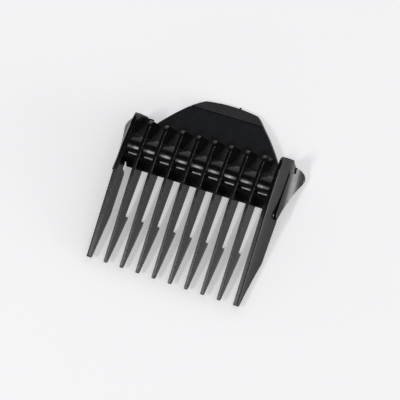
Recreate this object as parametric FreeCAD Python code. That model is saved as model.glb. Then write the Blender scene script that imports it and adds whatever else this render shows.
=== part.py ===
"""Guide comb that clips over the blade head of a hair clipper.

The comb frame, used for every shape below, has X across the comb, Y from the tine tips
towards the thumb tab and Z up, with Z = 0 on the straight tops of the tines.  At the end
the whole comb is tilted and lowered so that it rests on Z = 0 on its tine steps and tab.
All dimensions are in millimetres.
"""
import FreeCAD, Part
import math
import os

V = FreeCAD.Vector

# Tines
INNER_TINE_COUNT = 8
TINE_PITCH = 5.0
TINE_THICKNESS = 1.0
TINE_EDGE_RADIUS = 0.15
TIP_TOP = (0.3, 0.0)
TIP_NOSE = ((0.0, -0.25), (0.0, -0.6))
TIP_BOTTOM = (0.3, -0.85)
BEAM_START = (13.6, -3.2)
BEAM_SLOPE = -0.131
STEP_HEIGHT = 2.0
STEP_CORNER = (BEAM_START[0] + STEP_HEIGHT * BEAM_SLOPE, BEAM_START[1] - STEP_HEIGHT)
TOP_STRAIGHT_END = (24.0, 0.0)
ARCH_RADIUS = 75.0
HEEL_TOP_Y = 39.2
HEEL_ROUND_MIDDLE = (40.3, -2.05)
HEEL_REAR = (40.65, -3.2)
HEEL_FOOT = (40.0, -8.8)

# Cross rail: one bent sheet seen from the side
APRON_LIP_Y = 26.7
APRON_LIP_DEPTH = 1.5
APRON_TOP = (29.35, -2.45)
LEDGE_STEPS = ((29.62, -2.41), (29.85, -2.2), (30.42, -2.0), (30.75, -1.95))
RIDGE_FRONT_MIDDLE = (31.6, -1.35)
RIDGE_CREST = (33.0, -1.1)
RIDGE_REAR_MIDDLE = (34.6, -1.55)
RIDGE_END = (35.8, -2.9)
WEB_MIDDLE = (37.0, -5.95)
WEB_FOOT = (39.4, -8.05)
RIDGE_FRONT_UNDER = (30.75, -3.3)
RIDGE_CREST_UNDER = (33.0, -2.4)
RIDGE_END_UNDER = (34.6, -3.5)
WEB_MIDDLE_UNDER = (36.0, -7.0)
WEB_FOOT_UNDER = (39.0, -9.2)

# Thumb tab
TAB_THICKNESS = 1.1
TAB_SLOPE_DEG = 14.8
TAB_HINGE = (41.86, -9.22)
TAB_LENGTH = 6.0
TIP_BEND_DEG = 20.0
TIP_LENGTH = 4.0
TIP_END_THICKNESS = 0.9
HINGE_CLEARANCE = 0.06
TAB_ROOT_CORNER = (19.4, 39.2)
WEB_CORNER = (20.1, 41.2)
TAB_SIDE_MIDDLE = (15.0, 44.3)
TAB_SIDE_END = (9.2, 49.5)
TAB_REAR_CORNER = (7.9, 50.3)
TAB_REAR_Y = 50.95
CATCH_WIDTH = 12.0
CATCH_HEIGHT = 0.8
CATCH_DEPTH = 1.0
CATCH_RUN = 4.2
GATE_RADIUS = 0.28
GATE_LENGTH = 0.35
GATE_X = 2.2

# Side walls: the outer tines and the heel walls behind them
WALL_INNER_X = 22.0
WALL_TOP_X = 23.4
WALL_TOP_LEAN_DEG = 8.0
WALL_HOLLOW_RADIUS = 15.0
WALL_LOWEST_Z = -9.6
WALL_TOP_RADIUS = 0.45
WAIST_START_Y = 24.0
WAIST_RADIUS = 155.0
WAIST_SWEEP_DEG = 10.0
OUTER_STEP = (12.6, -4.5)
WALL_BOTTOM_FRONT = (24.6, -5.1)
SLIT_FRONT = (25.9, -3.3)
SLIT_REAR = (38.2, -5.0)
OUTER_HEEL_TOP_Y = 39.9
OUTER_HEEL_MIDDLE = (41.35, -2.3)
OUTER_HEEL_REAR = (41.75, -3.6)
HEEL_SKIRT_REAR = (41.7, -5.75)
HEEL_SKIRT_FRONT = (39.95, -6.6)
HEEL_FOOT_REAR = (41.5, -9.5)
HEEL_FOOT_FRONT = (36.2, -9.2)
HEEL_WALL_THICKNESS = 1.25

# Side wings: the spring arms below the slits, with their flared grip ears
WING_TOP_FRONT = (26.0, -4.0)
WING_TOP_REAR_Z = -5.4
WING_THICKNESS = 0.72
WING_ROOT_Y = 38.2
WING_ROOT_TOP_Z = -5.45
WING_ROOT_BOTTOM_Z = -6.5
WING_ROOT_RADIUS = 0.29
WING_SPLAY_DEG = 6.3
WING_FRONT_BOTTOM = (24.7, -4.65)
WING_EDGE_MIDDLE = (30.2, -6.55)
WING_EDGE_END = (36.0, -9.0)
EAR_TOP_Z = -6.6
EAR_BOTTOM_MIDDLE = (37.6, -9.25)
EAR_BOTTOM_END = (38.8, -8.75)
EAR_REAR_MIDDLE = (39.6, -7.75)
EAR_REAR_TOP = (39.95, -6.95)
NIB_Y = 29.0
NIB_Z = -5.3
NIB_LENGTH = 3.0
NIB_HEIGHT = 0.8
NIB_REACH = 1.6

FAR = 60.0


def side_view(y, z):
    return V(0, y, z)


def front_view(x, z):
    return V(x, 0, z)


def plan_view(x, y):
    return V(x, y, 0)


def face(view, start, *steps):
    """Closed face in one view; a step is a point, or a pair (point on an arc, arc's end)."""
    edges = []
    here = view(*start)
    for step in steps + (start,):
        if isinstance(step[0], tuple):
            middle, end = (view(*point) for point in step)
            edges.append(Part.Arc(here, middle, end).toShape())
        else:
            end = view(*step)
            if end.distanceToPoint(here) > 1e-6:
                edges.append(Part.LineSegment(here, end).toShape())
        here = end
    return Part.Face(Part.Wire(edges))


def across(outline, x_low, x_high):
    """Extrude a side-view face between two X positions."""
    moved = outline.copy()
    moved.translate(V(x_low, 0, 0))
    return moved.extrude(V(x_high - x_low, 0, 0))


def along(outline, y_low, y_high):
    """Extrude a front-view face between two Y positions."""
    moved = outline.copy()
    moved.translate(V(0, y_low, 0))
    return moved.extrude(V(0, y_high - y_low, 0))


def upright(outline, z_low, z_high):
    """Extrude a plan-view face between two heights."""
    moved = outline.copy()
    moved.translate(V(0, 0, z_low))
    return moved.extrude(V(0, 0, z_high - z_low))


def one_solid(shape):
    """The single solid of a boolean result."""
    if len(shape.Solids) != 1:
        raise ValueError("expected one solid, got %d" % len(shape.Solids))
    return shape.Solids[0]


def mirrored(shape):
    return shape.mirror(V(0, 0, 0), V(1, 0, 0))


def beam_underside(y):
    """Height of the plane that the clipper's blade seats against."""
    return BEAM_START[1] + BEAM_SLOPE * (y - BEAM_START[0])


def arch(y):
    """Side-view point on the arch that continues the straight tops of the tines."""
    run = y - TOP_STRAIGHT_END[0]
    return (y, math.sqrt(ARCH_RADIUS ** 2 - run ** 2) - ARCH_RADIUS)


def arch_from(y_start, y_end):
    """Arc step along the arch, with its middle point."""
    return (arch((y_start + y_end) / 2), arch(y_end))


def turned(angle_deg, run, rise):
    """Point at a distance along, and at right angles to, a line that falls at an angle."""
    angle = math.radians(angle_deg)
    return (run * math.cos(angle) + rise * math.sin(angle),
            rise * math.cos(angle) - run * math.sin(angle))


def tab_point(run, rise):
    """Side-view point measured from the tab's hinge, along and above its middle plane."""
    dy, dz = turned(TAB_SLOPE_DEG, run, rise)
    return (TAB_HINGE[0] + dy, TAB_HINGE[1] + dz)


def tip_point(run, rise):
    """Side-view point measured from the crease, along and above the tip's middle plane."""
    crease = tab_point(TAB_LENGTH, 0)
    dy, dz = turned(TAB_SLOPE_DEG + TIP_BEND_DEG, run, rise)
    return (crease[0] + dy, crease[1] + dz)


def crease_point(side):
    """End of the crease's mitre line, above (1) or below (-1) the middle plane."""
    crease = tab_point(TAB_LENGTH, 0)
    reach = TAB_THICKNESS / 2 / math.cos(math.radians(TIP_BEND_DEG / 2))
    dy, dz = turned(TAB_SLOPE_DEG + TIP_BEND_DEG / 2, 0, side * reach)
    return (crease[0] + dy, crease[1] + dz)


def rail_envelope():
    """Everything below the upper surface of the cross rail and the tab's root."""
    lip = (APRON_LIP_Y, beam_underside(APRON_LIP_Y))
    root_top = tab_point(0, TAB_THICKNESS / 2)
    outline = face(side_view, lip, APRON_TOP, *LEDGE_STEPS,
                   (RIDGE_FRONT_MIDDLE, RIDGE_CREST), (RIDGE_REAR_MIDDLE, RIDGE_END),
                   (WEB_MIDDLE, WEB_FOOT), root_top, (root_top[0], -FAR), (lip[0], -FAR))
    return across(outline, -FAR, FAR)


def inner_tine(x, envelope):
    hidden_y = APRON_LIP_Y + 0.3
    outline = face(side_view, *TIP_NOSE[::-1], TIP_TOP, TOP_STRAIGHT_END,
                   arch_from(TOP_STRAIGHT_END[0], HEEL_TOP_Y), (HEEL_ROUND_MIDDLE, HEEL_REAR),
                   HEEL_FOOT, (hidden_y, HEEL_FOOT[1]), (hidden_y, beam_underside(hidden_y)),
                   BEAM_START, STEP_CORNER, TIP_BOTTOM)
    plate = across(outline, x - TINE_THICKNESS / 2, x + TINE_THICKNESS / 2)
    lowest = arch(HEEL_TOP_Y)[1] - 0.01
    tops = [edge for edge in plate.Edges
            if edge.BoundBox.XLength < 1e-6 and edge.BoundBox.ZMin > lowest]
    return one_solid(plate.makeFillet(TINE_EDGE_RADIUS, tops).cut(envelope))


def front_apron():
    lip = (APRON_LIP_Y, beam_underside(APRON_LIP_Y))
    lip_rear_y = APRON_LIP_Y + APRON_LIP_DEPTH
    outline = face(side_view, lip, APRON_TOP, *LEDGE_STEPS, RIDGE_FRONT_UNDER,
                   (lip_rear_y, beam_underside(lip_rear_y)))
    return across(outline, -WALL_INNER_X, WALL_INNER_X)


def rail_ridge():
    outline = face(side_view, LEDGE_STEPS[-1], (RIDGE_FRONT_MIDDLE, RIDGE_CREST),
                   (RIDGE_REAR_MIDDLE, RIDGE_END), RIDGE_END_UNDER,
                   (RIDGE_CREST_UNDER, RIDGE_FRONT_UNDER))
    return across(outline, -WALL_INNER_X, WALL_INNER_X)


def tab_plan():
    """Plan outline shared by the rear web's foot, the thumb tab and its tip."""
    right = (TAB_ROOT_CORNER, (TAB_SIDE_MIDDLE, TAB_SIDE_END), TAB_REAR_CORNER)
    left_rear = (-TAB_REAR_CORNER[0], TAB_REAR_CORNER[1])
    left_side_end = (-TAB_SIDE_END[0], TAB_SIDE_END[1])
    left_side_middle = (-TAB_SIDE_MIDDLE[0], TAB_SIDE_MIDDLE[1])
    left_root = (-TAB_ROOT_CORNER[0], TAB_ROOT_CORNER[1])
    outline = face(plan_view, (-WALL_INNER_X, APRON_LIP_Y), (WALL_INNER_X, APRON_LIP_Y),
                   (WALL_INNER_X, WEB_CORNER[1]), WEB_CORNER, *right,
                   ((0, TAB_REAR_Y), left_rear), left_side_end, (left_side_middle, left_root),
                   (-WEB_CORNER[0], WEB_CORNER[1]), (-WALL_INNER_X, WEB_CORNER[1]))
    return upright(outline, -FAR, FAR)


def rear_web(plan):
    half = TAB_THICKNESS / 2
    outline = face(side_view, RIDGE_END, (WEB_MIDDLE, WEB_FOOT), tab_point(0, half),
                   tab_point(0, -half), WEB_FOOT_UNDER, (WEB_MIDDLE_UNDER, RIDGE_END_UNDER))
    web = across(outline, -WALL_INNER_X, WALL_INNER_X).common(plan)
    start = V(-WALL_INNER_X, TAB_HINGE[0], TAB_HINGE[1])
    socket = Part.makeCylinder(half + HINGE_CLEARANCE, 2 * WALL_INNER_X, start, V(1, 0, 0))
    return one_solid(web.cut(socket))


def thumb_tab(plan):
    half = TAB_THICKNESS / 2
    outline = face(side_view, tab_point(0, half), crease_point(1), crease_point(-1),
                   tab_point(0, -half), (tab_point(-half, 0), tab_point(0, half)))
    return one_solid(across(outline, -WALL_INNER_X, WALL_INNER_X).common(plan))


def tab_tip(plan):
    half = TIP_END_THICKNESS / 2
    outline = face(side_view, crease_point(1), tip_point(TIP_LENGTH, half),
                   tip_point(TIP_LENGTH, -half), crease_point(-1))
    return one_solid(across(outline, -WALL_INNER_X, WALL_INNER_X).common(plan))


def tab_catch_lip():
    """Sloped ramp below the tab that snaps behind the clipper's edge."""
    top = -TAB_THICKNESS / 2
    outline = face(side_view, tab_point(CATCH_RUN, top), tab_point(CATCH_RUN + CATCH_DEPTH, top),
                   tab_point(CATCH_RUN + CATCH_DEPTH / 2, top - CATCH_HEIGHT),
                   tab_point(CATCH_RUN, top - CATCH_HEIGHT))
    return across(outline, -CATCH_WIDTH / 2, CATCH_WIDTH / 2)


def gate_vestige(tip):
    """Short stub left on the tab's rear edge."""
    middle = tip_point(TIP_LENGTH - 1.0, 0)
    direction = side_view(*turned(TAB_SLOPE_DEG + TIP_BEND_DEG, 1, 0))
    start = V(GATE_X, middle[0], middle[1])
    edge = Part.LineSegment(start, start + direction * TIP_LENGTH).toShape()
    reach = edge.common(tip).Length
    stub = Part.makeCylinder(GATE_RADIUS, reach + GATE_LENGTH, start, direction)
    return one_solid(stub.cut(tip))


def wall_face_x(z):
    """Outer face of the side wall at its front end: a hollow curve that leans outwards."""
    lean = math.radians(WALL_TOP_LEAN_DEG)
    lean_here = math.asin(math.sin(lean) - z / WALL_HOLLOW_RADIUS)
    return WALL_TOP_X + WALL_HOLLOW_RADIUS * (math.cos(lean) - math.cos(lean_here))


def wall_face_arc(offset):
    """Front-view points at the top, middle and bottom of the wall's face, moved across."""
    return [(wall_face_x(z) + offset, z) for z in (0, WALL_LOWEST_Z / 2, WALL_LOWEST_Z)]


def flared_region():
    """Room for the right side wall, whose rear part curves inwards in plan."""
    top, middle, bottom = wall_face_arc(0)
    inner_x = WALL_INNER_X - 5.0
    outline = face(front_view, (inner_x, FAR), (top[0], FAR), top, (middle, bottom),
                   (inner_x, bottom[1]))
    outline.translate(V(0, WAIST_START_Y, 0))
    front = outline.extrude(V(0, -FAR, 0))
    pivot = V(WALL_TOP_X - WAIST_RADIUS, WAIST_START_Y, 0)
    rear = outline.revolve(pivot, V(0, 0, 1), WAIST_SWEEP_DEG)
    return front.fuse(rear)


def waist_depth(y):
    """How far the wall has curved inwards."""
    return WAIST_RADIUS - math.sqrt(WAIST_RADIUS ** 2 - (y - WAIST_START_Y) ** 2)


def is_top_outer(edge):
    """True for the straight outer edge along the top of the side wall."""
    box = edge.BoundBox
    return box.XMin > WALL_TOP_X - 0.01 and box.ZMin > -0.01 and box.YLength > 1


def outer_tine():
    """Right end tine with the beam that runs above the slit to the heel wall."""
    outline = face(side_view, *TIP_NOSE[::-1], TIP_TOP, TOP_STRAIGHT_END,
                   arch_from(TOP_STRAIGHT_END[0], SLIT_REAR[0]), SLIT_REAR, SLIT_FRONT,
                   WALL_BOTTOM_FRONT, OUTER_STEP, TIP_BOTTOM)
    wall = one_solid(across(outline, WALL_INNER_X, FAR).common(flared_region()))
    top_line = (edge for edge in wall.Edges if is_top_outer(edge))
    return one_solid(wall.makeFillet(WALL_TOP_RADIUS, [next(top_line)]))


def wing_section():
    """Front-view section of the wing, which continues the hollow curve of the wall."""
    outward = -waist_depth(WING_ROOT_Y)
    top, middle, bottom = wall_face_arc(outward)
    inner_top, inner_middle, inner_bottom = wall_face_arc(outward - WING_THICKNESS)
    return face(front_view, top, (middle, bottom), inner_bottom, (inner_middle, inner_top))


def root_point(z):
    """Middle of the wing's thickness where it meets the heel wall."""
    return V(wall_face_x(z) - waist_depth(WING_ROOT_Y) - WING_THICKNESS / 2, WING_ROOT_Y, z)


ROOT_TOP = root_point(WING_ROOT_TOP_Z)
ROOT_DIRECTION = root_point(WING_ROOT_BOTTOM_Z) - ROOT_TOP


def wing_root(radius):
    """Round root of the wing, along the axis about which it flexes."""
    start = ROOT_TOP - ROOT_DIRECTION * 5
    return Part.makeCylinder(radius, ROOT_DIRECTION.Length * 10, start, ROOT_DIRECTION)


def height_slab(z_low, z_high):
    return Part.makeBox(2 * FAR, 2 * FAR, z_high - z_low, V(-FAR, -FAR, z_low))


def slit_top(y):
    """Height of the slit's upper side, which is the underside of the outer tine's beam."""
    share = (y - SLIT_FRONT[0]) / (SLIT_REAR[0] - SLIT_FRONT[0])
    return SLIT_FRONT[1] + share * (SLIT_REAR[1] - SLIT_FRONT[1])


def heel_wall():
    """Tall rear end of the right side wall, with the socket that the wing's root turns in."""
    top = (arch(SLIT_REAR[0]), arch_from(SLIT_REAR[0], OUTER_HEEL_TOP_Y),
           (OUTER_HEEL_MIDDLE, OUTER_HEEL_REAR))
    skirt = face(side_view, *top, HEEL_SKIRT_REAR, HEEL_SKIRT_FRONT,
                 (SLIT_REAR[0], HEEL_SKIRT_FRONT[1]))
    wall = face(side_view, *top, HEEL_FOOT_REAR, HEEL_FOOT_FRONT,
                (HEEL_FOOT_FRONT[0], slit_top(HEEL_FOOT_FRONT[0])), SLIT_REAR)
    region = flared_region()
    hollow = region.copy()
    hollow.translate(V(-HEEL_WALL_THICKNESS, 0, 0))
    outside = across(skirt, WALL_INNER_X, FAR).common(region).cut(hollow)
    inside = across(wall, WALL_INNER_X, WALL_INNER_X + HEEL_WALL_THICKNESS)
    socket = wing_root(WING_ROOT_RADIUS + HINGE_CLEARANCE)
    socket = socket.common(height_slab(-FAR, SLIT_REAR[1]))
    return one_solid(outside.fuse(inside.common(region)).removeSplitter().cut(socket))


def splayed(solid):
    """Turn the wing outwards about its root, as it is moulded."""
    turned_solid = solid.copy()
    turned_solid.rotate(ROOT_TOP, -ROOT_DIRECTION, WING_SPLAY_DEG)
    return turned_solid


def wing_piece(z_low, z_high):
    """Slice of the flexing arm between two heights: its sheet and its round root."""
    outline = face(side_view, WING_TOP_FRONT, (WING_ROOT_Y, WING_TOP_REAR_Z),
                   (WING_ROOT_Y, EAR_REAR_TOP[1]), EAR_REAR_TOP,
                   (EAR_REAR_MIDDLE, EAR_BOTTOM_END), (EAR_BOTTOM_MIDDLE, WING_EDGE_END),
                   (WING_EDGE_MIDDLE, WING_FRONT_BOTTOM))
    slab = height_slab(z_low, z_high)
    sheet = along(wing_section(), 0, FAR).common(across(outline, 0, FAR)).common(slab)
    root = wing_root(WING_ROOT_RADIUS).common(slab)
    root = root.common(height_slab(WING_ROOT_BOTTOM_Z, WING_TOP_REAR_Z))
    return one_solid(sheet.fuse(root))


def latch_nib(panel):
    """Ramp inside the wing that holds the side of the blade head."""
    outer_x = wall_face_x(NIB_Z) - waist_depth(WING_ROOT_Y)
    inner_x = outer_x - WING_THICKNESS - NIB_REACH
    outline = face(plan_view, (outer_x, NIB_Y), (outer_x, NIB_Y + NIB_LENGTH),
                   (inner_x, NIB_Y + NIB_LENGTH * 0.6), (inner_x, NIB_Y + NIB_LENGTH * 0.4))
    block = upright(outline, NIB_Z - NIB_HEIGHT / 2, NIB_Z + NIB_HEIGHT / 2).cut(panel)
    return min(block.Solids, key=lambda solid: solid.CenterOfMass.x)


def build_nodes():
    nodes = {}
    envelope = rail_envelope()
    first_x = -TINE_PITCH * (INNER_TINE_COUNT - 1) / 2
    for index in range(INNER_TINE_COUNT):
        nodes["inner_tine_%d" % (index + 1)] = inner_tine(first_x + index * TINE_PITCH, envelope)
    plan = tab_plan()
    nodes["front_apron"] = front_apron()
    nodes["rail_ridge"] = rail_ridge()
    nodes["rear_web"] = rear_web(plan)
    nodes["thumb_tab"] = thumb_tab(plan)
    nodes["tab_tip"] = tab_tip(plan)
    nodes["tab_catch_lip"] = tab_catch_lip()
    nodes["gate_vestige"] = gate_vestige(nodes["tab_tip"])
    panel = wing_piece(EAR_TOP_Z, 0)
    ear = wing_piece(-FAR, EAR_TOP_Z)
    right_side = {
        "outer_tine": outer_tine(),
        "heel_wall": heel_wall(),
        "side_wing": splayed(panel),
        "grip_ear": splayed(ear),
        "latch_nib": splayed(latch_nib(panel)),
    }
    for name, solid in right_side.items():
        nodes["right_" + name] = solid
        nodes["left_" + name] = mirrored(solid)
    return nodes


def seat(nodes):
    """Tilt the comb about X and shift it so that it rests on Z = 0, centred on Z's axis."""
    rear = tip_point(TIP_LENGTH, -TIP_END_THICKNESS / 2)
    tilt = math.atan2(STEP_CORNER[1] - rear[1], rear[0] - STEP_CORNER[0])
    for solid in nodes.values():
        solid.rotate(V(0, 0, 0), V(1, 0, 0), math.degrees(tilt))
    box = Part.makeCompound(list(nodes.values())).optimalBoundingBox(False)
    shift = V(-(box.XMin + box.XMax) / 2, -(box.YMin + box.YMax) / 2, -box.ZMin)
    for solid in nodes.values():
        solid.translate(shift)
    return math.degrees(tilt), shift


nodes = build_nodes()
tilt_deg, shift = seat(nodes)
print("rest tilt %.4f degrees, shift %.4f %.4f %.4f" % (tilt_deg, shift.x, shift.y, shift.z))
os.makedirs("parts", exist_ok=True)
for name, solid in nodes.items():
    if not solid.isValid():
        raise ValueError(name + " is not a valid solid")
    solid.exportStep("parts/%s.step" % name)
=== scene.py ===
"""Looks of the hair clipper's guide comb: moulded black plastic on a pale studio floor."""
import bmesh
import bpy
import math
from mathutils import Matrix, Vector
from mathutils.bvhtree import BVHTree


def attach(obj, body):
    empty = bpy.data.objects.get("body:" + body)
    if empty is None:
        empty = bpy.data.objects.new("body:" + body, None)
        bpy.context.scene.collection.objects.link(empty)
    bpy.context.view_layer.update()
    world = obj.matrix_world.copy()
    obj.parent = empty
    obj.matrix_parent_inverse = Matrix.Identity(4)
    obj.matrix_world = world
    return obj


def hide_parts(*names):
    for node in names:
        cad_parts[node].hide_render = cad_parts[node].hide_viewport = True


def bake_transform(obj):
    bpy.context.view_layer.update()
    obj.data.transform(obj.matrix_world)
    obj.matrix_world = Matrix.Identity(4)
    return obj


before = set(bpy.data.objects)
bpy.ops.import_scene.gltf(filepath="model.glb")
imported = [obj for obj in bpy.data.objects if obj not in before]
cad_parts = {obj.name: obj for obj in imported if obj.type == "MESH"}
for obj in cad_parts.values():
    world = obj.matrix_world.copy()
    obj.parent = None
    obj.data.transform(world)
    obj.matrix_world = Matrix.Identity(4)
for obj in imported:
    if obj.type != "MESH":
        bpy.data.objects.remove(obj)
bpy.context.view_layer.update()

MM = 0.001
WELD = 0.002 * MM
FLAT_ANGLE = math.radians(0.3)

# From the comb's own frame (Y along the tines, Z = 0 on their straight tops) to the row's shared one
TILT = math.radians(12.3897)
COMB_SHIFT = Vector((0.0, -26.4943, 2.2171)) * MM
TO_ROW = Matrix.Translation(COMB_SHIFT) @ Matrix.Rotation(TILT, 4, "X")

# Edge roundings of the moulding
TINE_ROUND = 0.13 * MM
WALL_ROUND = 0.16 * MM
HEEL_ROUND = 0.35 * MM
SMALL_ROUND = 0.08 * MM
WING_ROUND = 0.1 * MM
ROUND_SEGMENTS = 3

# An edge is rounded where it is this sharp, and clear of the other solids at these shares of it
SHARP_ANGLE = math.radians(24.0)
CONTACT = 0.09 * MM
EDGE_SHARES = (0.1, 0.5, 0.9)

# Faces that meet at less than this are shaded as one surface
SMOOTH_ANGLE = math.radians(38.0)

# The ridge swells a little in each bay between two tines, where its surface faces upwards
TINE_PITCH = 5.0 * MM
BAYS_PER_SIDE = 4
BAY_SWELL = 0.12 * MM
BAY_STEPS = 8
UPWARDS = 0.3

# The thumb tab's hinge line, crease and root in the comb's frame, in millimetres
TAB_HINGE = (41.86, -9.22)
TAB_SLOPE = math.radians(14.8)
TAB_CREASE = (47.661, -10.753)
TAB_BRIDGE_RUN = 0.75
TAB_BRIDGE_HALF = 0.56
TAB_BRIDGE_INSET = 0.01
ROOT_ARC_CENTRE = (-25.70, 4.74)
ROOT_ARC_RADIUS = 56.76

# The fine groove at the tab's crease
CREASE_SLOPE = math.radians(24.8)
CREASE_HALF = 0.14 * MM
CREASE_DEPTH = 0.42 * MM

# The side wing's rounded root: the ends of its axis in the comb's frame, in millimetres
WING_ROOT = ((24.2736, 38.2, -5.45), (24.9437, 38.2, -6.5))
WING_ROOT_RADIUS = 0.345 * MM
WING_ROOT_SIDES = 48

# Camera, as an orbit round a point near the middle of the comb
CAMERA_TARGET = Vector((2.37, -2.20, 3.36)) * MM
CAMERA_AZIMUTH = math.radians(65.37)
CAMERA_ELEVATION = math.radians(64.72)
CAMERA_ROLL = math.radians(-45.58)
CAMERA_DISTANCE = 619.4 * MM
LENS = 205.7

# Plastic: waves per millimetre and detail of its cloudy colour, its polish and its grain
CLOUD_WAVES = 0.45
CLOUD_DETAIL = 3.0
POLISH_WAVES = 0.9
POLISH_DETAIL = 2.0
GRAIN_DETAIL = 3.0
PLASTIC_IOR = 1.5
NOISE_BAND = (0.3, 0.7)

# Floor and surroundings
COOL_WHITE = (0.985, 0.985, 1.0, 1.0)
FLOOR_HALF_SIZE = 1.5
FLOOR_COLOUR = (0.9, 0.9, 0.905, 1.0)
FLOOR_ROUGHNESS = 0.7
FLOOR_SHEEN = 0.2
FLOOR_GLOW = 0.32
DARK_CORE = math.radians(40)
DARK_EDGE = math.radians(66)

TINES = ["inner_tine_%d" % index for index in range(1, 9)]
SIDES = ("right", "left")


def link(name, data):
    """New object in the scene."""
    piece = bpy.data.objects.new(name, data)
    bpy.context.scene.collection.objects.link(piece)
    return piece


def stored(name, mesh):
    """Mesh data from a bmesh, which is freed."""
    data = bpy.data.meshes.new(name)
    mesh.to_mesh(data)
    mesh.free()
    return data


def clean(mesh):
    """Weld a bmesh's corners and join its triangles into flat-sided faces."""
    bmesh.ops.remove_doubles(mesh, verts=mesh.verts, dist=WELD)
    bmesh.ops.dissolve_limit(mesh, angle_limit=FLAT_ANGLE, verts=mesh.verts, edges=mesh.edges)


def cad_mesh(node):
    """A node's CAD solid as a bmesh of welded, flat-sided faces."""
    mesh = bmesh.new()
    mesh.from_mesh(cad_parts[node].data)
    clean(mesh)
    return mesh


def surroundings(*own):
    """Search tree of the surfaces of every CAD solid apart from a piece's own nodes."""
    mesh = bmesh.new()
    for node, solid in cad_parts.items():
        if node not in own:
            mesh.from_mesh(solid.data)
    tree = BVHTree.FromBMesh(mesh)
    mesh.free()
    return tree


def is_free_edge(edge, tree):
    """True for a sharp convex edge that doesn't lie against another solid."""
    if len(edge.link_faces) != 2 or not edge.is_convex:
        return False
    if edge.calc_face_angle(0.0) < SHARP_ANGLE:
        return False
    first, last = (corner.co for corner in edge.verts)
    spots = (first.lerp(last, share) for share in EDGE_SHARES)
    return all(tree.find_nearest(spot)[3] > CONTACT for spot in spots)


def round_edges(mesh, tree, radius):
    """Round the free edges of a bmesh."""
    edges = [edge for edge in mesh.edges if is_free_edge(edge, tree)]
    bmesh.ops.bevel(mesh, geom=edges, offset=radius, offset_type="OFFSET",
                    segments=ROUND_SEGMENTS, profile=0.5, affect="EDGES",
                    clamp_overlap=True, loop_slide=True)


def cut(mesh, point, normal):
    """Split the faces of a bmesh along a plane."""
    bmesh.ops.bisect_plane(mesh, geom=list(mesh.verts) + list(mesh.edges) + list(mesh.faces),
                           dist=WELD, plane_co=point, plane_no=normal)


def press_crease(mesh):
    """Press half of a fine groove into the tab's upper side, where a piece ends at the crease."""
    point = TO_ROW @ (Vector((0, *TAB_CREASE)) * MM)
    normal = TO_ROW.to_3x3() @ Vector((0, math.cos(CREASE_SLOPE), -math.sin(CREASE_SLOPE)))
    down = Vector((1, 0, 0)).cross(normal) * -1
    for offset in (-CREASE_HALF, CREASE_HALF):
        cut(mesh, point + normal * offset, normal)
    for corner in mesh.verts:
        place = corner.co - point
        if abs(place.dot(normal)) < WELD and place.dot(down) < 0:
            corner.co += down * CREASE_DEPTH


def finished(name, mesh, material):
    """Object from a bmesh, smooth apart from its sharp edges, its normals led by flat faces."""
    bmesh.ops.dissolve_degenerate(mesh, dist=WELD / 4, edges=mesh.edges)
    for face in mesh.faces:
        face.smooth = True
    for edge in mesh.edges:
        edge.smooth = edge.calc_face_angle(math.pi) < SMOOTH_ANGLE
    data = stored(name, mesh)
    data.materials.append(material)
    piece = link(name, data)
    lead = piece.modifiers.new("flat faces lead", "WEIGHTED_NORMAL")
    lead.mode = "FACE_AREA"
    lead.keep_sharp = True
    return piece


def moulded(node, radius, material, body, creased=False):
    """A CAD node riding on its body, its edges rounded unless they lie against another's."""
    mesh = cad_mesh(node)
    if creased:
        press_crease(mesh)
    round_edges(mesh, surroundings(node), radius)
    piece = finished(node + "_moulded", mesh, material)
    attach(piece, body)
    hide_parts(node)


def merged(*meshes):
    """Union of overlapping solids as one bmesh."""
    solids = [link("solid", stored("solid", mesh)) for mesh in meshes]
    for other in solids[1:]:
        join = solids[0].modifiers.new("join", "BOOLEAN")
        join.operation = "UNION"
        join.solver = "EXACT"
        join.object = other
    shown = solids[0].evaluated_get(bpy.context.evaluated_depsgraph_get())
    union = bmesh.new()
    union.from_mesh(shown.to_mesh())
    for solid in solids:
        bpy.data.objects.remove(solid)
    clean(union)
    return union


def prism(front, rear):
    """Solid between two four-cornered sections given in the comb's frame, in millimetres."""
    mesh = bmesh.new()
    corners = [mesh.verts.new(TO_ROW @ (Vector(point) * MM)) for point in (*front, *rear)]
    mesh.faces.new(corners[:4])
    mesh.faces.new(corners[:3:-1])
    for index in range(4):
        after = (index + 1) % 4
        mesh.faces.new((corners[after], corners[index], corners[index + 4], corners[after + 4]))
    bmesh.ops.recalc_face_normals(mesh, faces=mesh.faces)
    return mesh


def tab_half_width(y):
    """Half of the tab's width near its root, which a large arc bounds."""
    return ROOT_ARC_CENTRE[0] + math.sqrt(ROOT_ARC_RADIUS ** 2 - (y - ROOT_ARC_CENTRE[1]) ** 2)


def tab_section(y, middle_z):
    """Cross-section of the tab near its root, a little inside the tab's edges."""
    half_x = tab_half_width(y) - TAB_BRIDGE_INSET
    low, high = middle_z - TAB_BRIDGE_HALF, middle_z + TAB_BRIDGE_HALF
    return ((-half_x, y, low), (half_x, y, low), (half_x, y, high), (-half_x, y, high))


def tab_skin(material):
    """The web and the thumb tab as the one sheet that the moulding has."""
    fall = TAB_BRIDGE_RUN * math.tan(TAB_SLOPE)
    bridge = prism(tab_section(TAB_HINGE[0] - TAB_BRIDGE_RUN, TAB_HINGE[1] + fall),
                   tab_section(TAB_HINGE[0] + TAB_BRIDGE_RUN, TAB_HINGE[1] - fall))
    mesh = merged(cad_mesh("rear_web"), bridge, cad_mesh("thumb_tab"))
    press_crease(mesh)
    round_edges(mesh, surroundings("rear_web", "thumb_tab"), TINE_ROUND)
    piece = finished("tab_skin", mesh, material)
    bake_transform(piece)
    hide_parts("rear_web", "thumb_tab")


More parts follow.
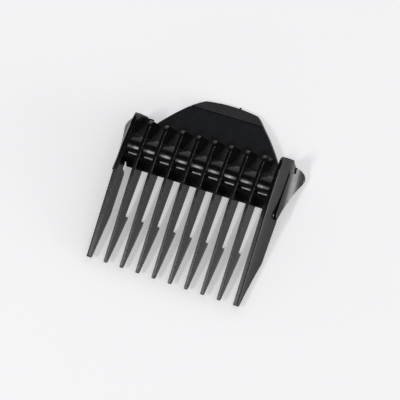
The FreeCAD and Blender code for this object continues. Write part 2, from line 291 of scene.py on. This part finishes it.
def wing_root(side):
    """The rounded root of a side wing, a cylinder that fills its socket."""
    mirror = 1 if side == "right" else -1
    top, bottom = (TO_ROW @ (Vector((mirror * x, y, z)) * MM) for x, y, z in WING_ROOT)
    place = Matrix.Translation((top + bottom) / 2)
    turn = (top - bottom).to_track_quat("Z", "Y").to_matrix().to_4x4()
    root = bmesh.new()
    bmesh.ops.create_cone(root, cap_ends=True, segments=WING_ROOT_SIDES,
                          radius1=WING_ROOT_RADIUS, radius2=WING_ROOT_RADIUS,
                          depth=(top - bottom).length, matrix=place @ turn)
    return root


def side_wing(side, material):
    """The side wing's sheet with its rounded root."""
    node = side + "_side_wing"
    mesh = merged(cad_mesh(node), wing_root(side))
    round_edges(mesh, surroundings(node), WING_ROUND)
    piece = finished(node + "_moulded", mesh, material)
    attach(piece, side + "_wing")
    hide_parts(node)


def ridge(material):
    """The cross rail's ridge, cut into strips between the tines and swelling in each bay."""
    mesh = cad_mesh("rail_ridge")
    round_edges(mesh, surroundings("rail_ridge"), SMALL_ROUND)
    step = TINE_PITCH / BAY_STEPS
    steps_per_side = BAYS_PER_SIDE * BAY_STEPS
    for index in range(-steps_per_side, steps_per_side + 1):
        cut(mesh, (index * step, 0, 0), (1, 0, 0))
    mesh.normal_update()
    for corner in mesh.verts:
        if corner.normal.z > UPWARDS:
            off_centre = (corner.co.x / TINE_PITCH + 0.5) % 1.0 * 2 - 1
            corner.co += corner.normal * BAY_SWELL * (1 - off_centre ** 2)
    piece = finished("rail_ridge_moulded", mesh, material)
    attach(piece, "comb")
    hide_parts("rail_ridge")


def camera():
    """Long lens looking down on the comb from its right."""
    data = bpy.data.cameras.new("camera")
    data.lens = LENS
    data.sensor_width = 36.0
    data.clip_start = 0.01
    data.clip_end = 10.0
    view = link("camera", data)
    away = Vector((math.sin(CAMERA_AZIMUTH) * math.cos(CAMERA_ELEVATION),
                   -math.cos(CAMERA_AZIMUTH) * math.cos(CAMERA_ELEVATION),
                   math.sin(CAMERA_ELEVATION)))
    turn = (-away).to_track_quat("-Z", "Y").to_matrix() @ Matrix.Rotation(CAMERA_ROLL, 3, "Z")
    view.matrix_world = Matrix.Translation(CAMERA_TARGET + away * CAMERA_DISTANCE) @ turn.to_4x4()
    bpy.context.scene.camera = view


def noise(tree, coordinates, scale, detail):
    """Noise texture whose scale is given in waves per millimetre."""
    texture = tree.nodes.new("ShaderNodeTexNoise")
    texture.inputs["Scale"].default_value = scale / MM
    texture.inputs["Detail"].default_value = detail
    tree.links.new(coordinates.outputs["Object"], texture.inputs["Vector"])
    return texture


def ranged(tree, source, low, high):
    """Map a noise's middle band to a range."""
    spread = tree.nodes.new("ShaderNodeMapRange")
    spread.inputs["From Min"].default_value = NOISE_BAND[0]
    spread.inputs["From Max"].default_value = NOISE_BAND[1]
    spread.inputs["To Min"].default_value = low
    spread.inputs["To Max"].default_value = high
    tree.links.new(source.outputs["Fac"], spread.inputs["Value"])
    return spread


def plastic(name, colours, roughness, sheen, grain, grain_depth):
    """Moulded plastic: slightly cloudy colour and polish, with a fine grain in the surface."""
    material = bpy.data.materials.new(name)
    material.use_nodes = True
    tree = material.node_tree
    shader = tree.nodes["Principled BSDF"]
    shader.inputs["IOR"].default_value = PLASTIC_IOR
    shader.inputs["Specular IOR Level"].default_value = sheen
    coordinates = tree.nodes.new("ShaderNodeTexCoord")
    cloud = noise(tree, coordinates, CLOUD_WAVES, CLOUD_DETAIL)
    ramp = tree.nodes.new("ShaderNodeValToRGB")
    for stop, position, colour in zip(ramp.color_ramp.elements, NOISE_BAND, colours):
        stop.position = position
        stop.color = (*colour, 1.0)
    tree.links.new(cloud.outputs["Fac"], ramp.inputs["Fac"])
    tree.links.new(ramp.outputs["Color"], shader.inputs["Base Color"])
    polish = ranged(tree, noise(tree, coordinates, POLISH_WAVES, POLISH_DETAIL), *roughness)
    tree.links.new(polish.outputs["Result"], shader.inputs["Roughness"])
    bump = tree.nodes.new("ShaderNodeBump")
    bump.inputs["Distance"].default_value = grain_depth
    bump.inputs["Strength"].default_value = 1.0
    texture = noise(tree, coordinates, grain, GRAIN_DETAIL)
    tree.links.new(texture.outputs["Fac"], bump.inputs["Height"])
    tree.links.new(bump.outputs["Normal"], shader.inputs["Normal"])
    return material


def floor():
    """Pale floor with a glow of its own, which keeps the shadows on it light."""
    mesh = bmesh.new()
    bmesh.ops.create_grid(mesh, x_segments=1, y_segments=1, size=FLOOR_HALF_SIZE)
    data = stored("floor", mesh)
    piece = link("floor", data)
    material = bpy.data.materials.new("floor")
    material.use_nodes = True
    shader = material.node_tree.nodes["Principled BSDF"]
    shader.inputs["Base Color"].default_value = FLOOR_COLOUR
    shader.inputs["Roughness"].default_value = FLOOR_ROUGHNESS
    shader.inputs["Specular IOR Level"].default_value = FLOOR_SHEEN
    shader.inputs["Emission Color"].default_value = COOL_WHITE
    shader.inputs["Emission Strength"].default_value = FLOOR_GLOW
    data.materials.append(material)


def studio(dark_towards, dark, bright):
    """Bright surroundings with a dark region, which the glossy upper faces reflect."""
    world = bpy.data.worlds.new("studio")
    world.use_nodes = True
    tree = world.node_tree
    background = tree.nodes["Background"]
    coordinates = tree.nodes.new("ShaderNodeTexCoord")
    aim = tree.nodes.new("ShaderNodeVectorMath")
    aim.operation = "DOT_PRODUCT"
    aim.inputs[1].default_value = Vector(dark_towards).normalized()
    spread = tree.nodes.new("ShaderNodeMapRange")
    spread.interpolation_type = "SMOOTHSTEP"
    spread.inputs["From Min"].default_value = math.cos(DARK_EDGE)
    spread.inputs["From Max"].default_value = math.cos(DARK_CORE)
    spread.inputs["To Min"].default_value = bright
    spread.inputs["To Max"].default_value = dark
    tree.links.new(coordinates.outputs["Generated"], aim.inputs[0])
    tree.links.new(aim.outputs["Value"], spread.inputs["Value"])
    tree.links.new(spread.outputs["Result"], background.inputs["Strength"])
    background.inputs["Color"].default_value = COOL_WHITE
    bpy.context.scene.world = world


def area_light(name, direction, distance, width, height, radiance):
    """Rectangular softbox of a given radiance, facing the comb, its width nearest to X."""
    data = bpy.data.lights.new(name, "AREA")
    data.shape = "RECTANGLE"
    data.size = width
    data.size_y = height
    data.energy = radiance * math.pi * width * height
    light = link(name, data)
    towards = Vector(direction).normalized()
    light.location = CAMERA_TARGET + towards * distance
    across = (Vector((1, 0, 0)) - towards * towards.x).normalized()
    turn = Matrix((across, towards.cross(across), towards)).transposed()
    light.rotation_mode = "QUATERNION"
    light.rotation_quaternion = turn.to_quaternion()


camera()
floor()
gloss = plastic("comb_plastic", colours=((0.002, 0.002, 0.0024), (0.0035, 0.0035, 0.004)),
                roughness=(0.17, 0.25), sheen=0.5, grain=9.0, grain_depth=0.0004 * MM)
matte = plastic("tab_plastic", colours=((0.0022, 0.0028, 0.0038), (0.0045, 0.0056, 0.0072)),
                roughness=(0.46, 0.56), sheen=0.33, grain=6.0, grain_depth=0.012 * MM)
for tine in TINES:
    moulded(tine, TINE_ROUND, gloss, "comb")
moulded("front_apron", SMALL_ROUND, gloss, "comb")
ridge(gloss)
tab_skin(matte)
moulded("tab_tip", TINE_ROUND, matte, "tab", creased=True)
moulded("tab_catch_lip", SMALL_ROUND, matte, "tab")
moulded("gate_vestige", SMALL_ROUND, matte, "tab")
for side in SIDES:
    moulded(side + "_outer_tine", WALL_ROUND, gloss, "comb")
    moulded(side + "_heel_wall", HEEL_ROUND, gloss, "comb")
    side_wing(side, gloss)
    moulded(side + "_grip_ear", WING_ROUND, gloss, side + "_wing")
    moulded(side + "_latch_nib", SMALL_ROUND, gloss, side + "_wing")
studio(dark_towards=(-0.40, -0.35, 0.80), dark=0.03, bright=0.9)
area_light("small_lamp", direction=(-0.388, -0.44, 0.81), distance=1.2,
           width=0.16, height=0.42, radiance=15.0)
area_light("right_softbox", direction=(0.97, 0.02, 0.085), distance=1.2,
           width=0.38, height=0.8, radiance=9.0)

bpy.context.scene.view_settings.view_transform = "Standard"
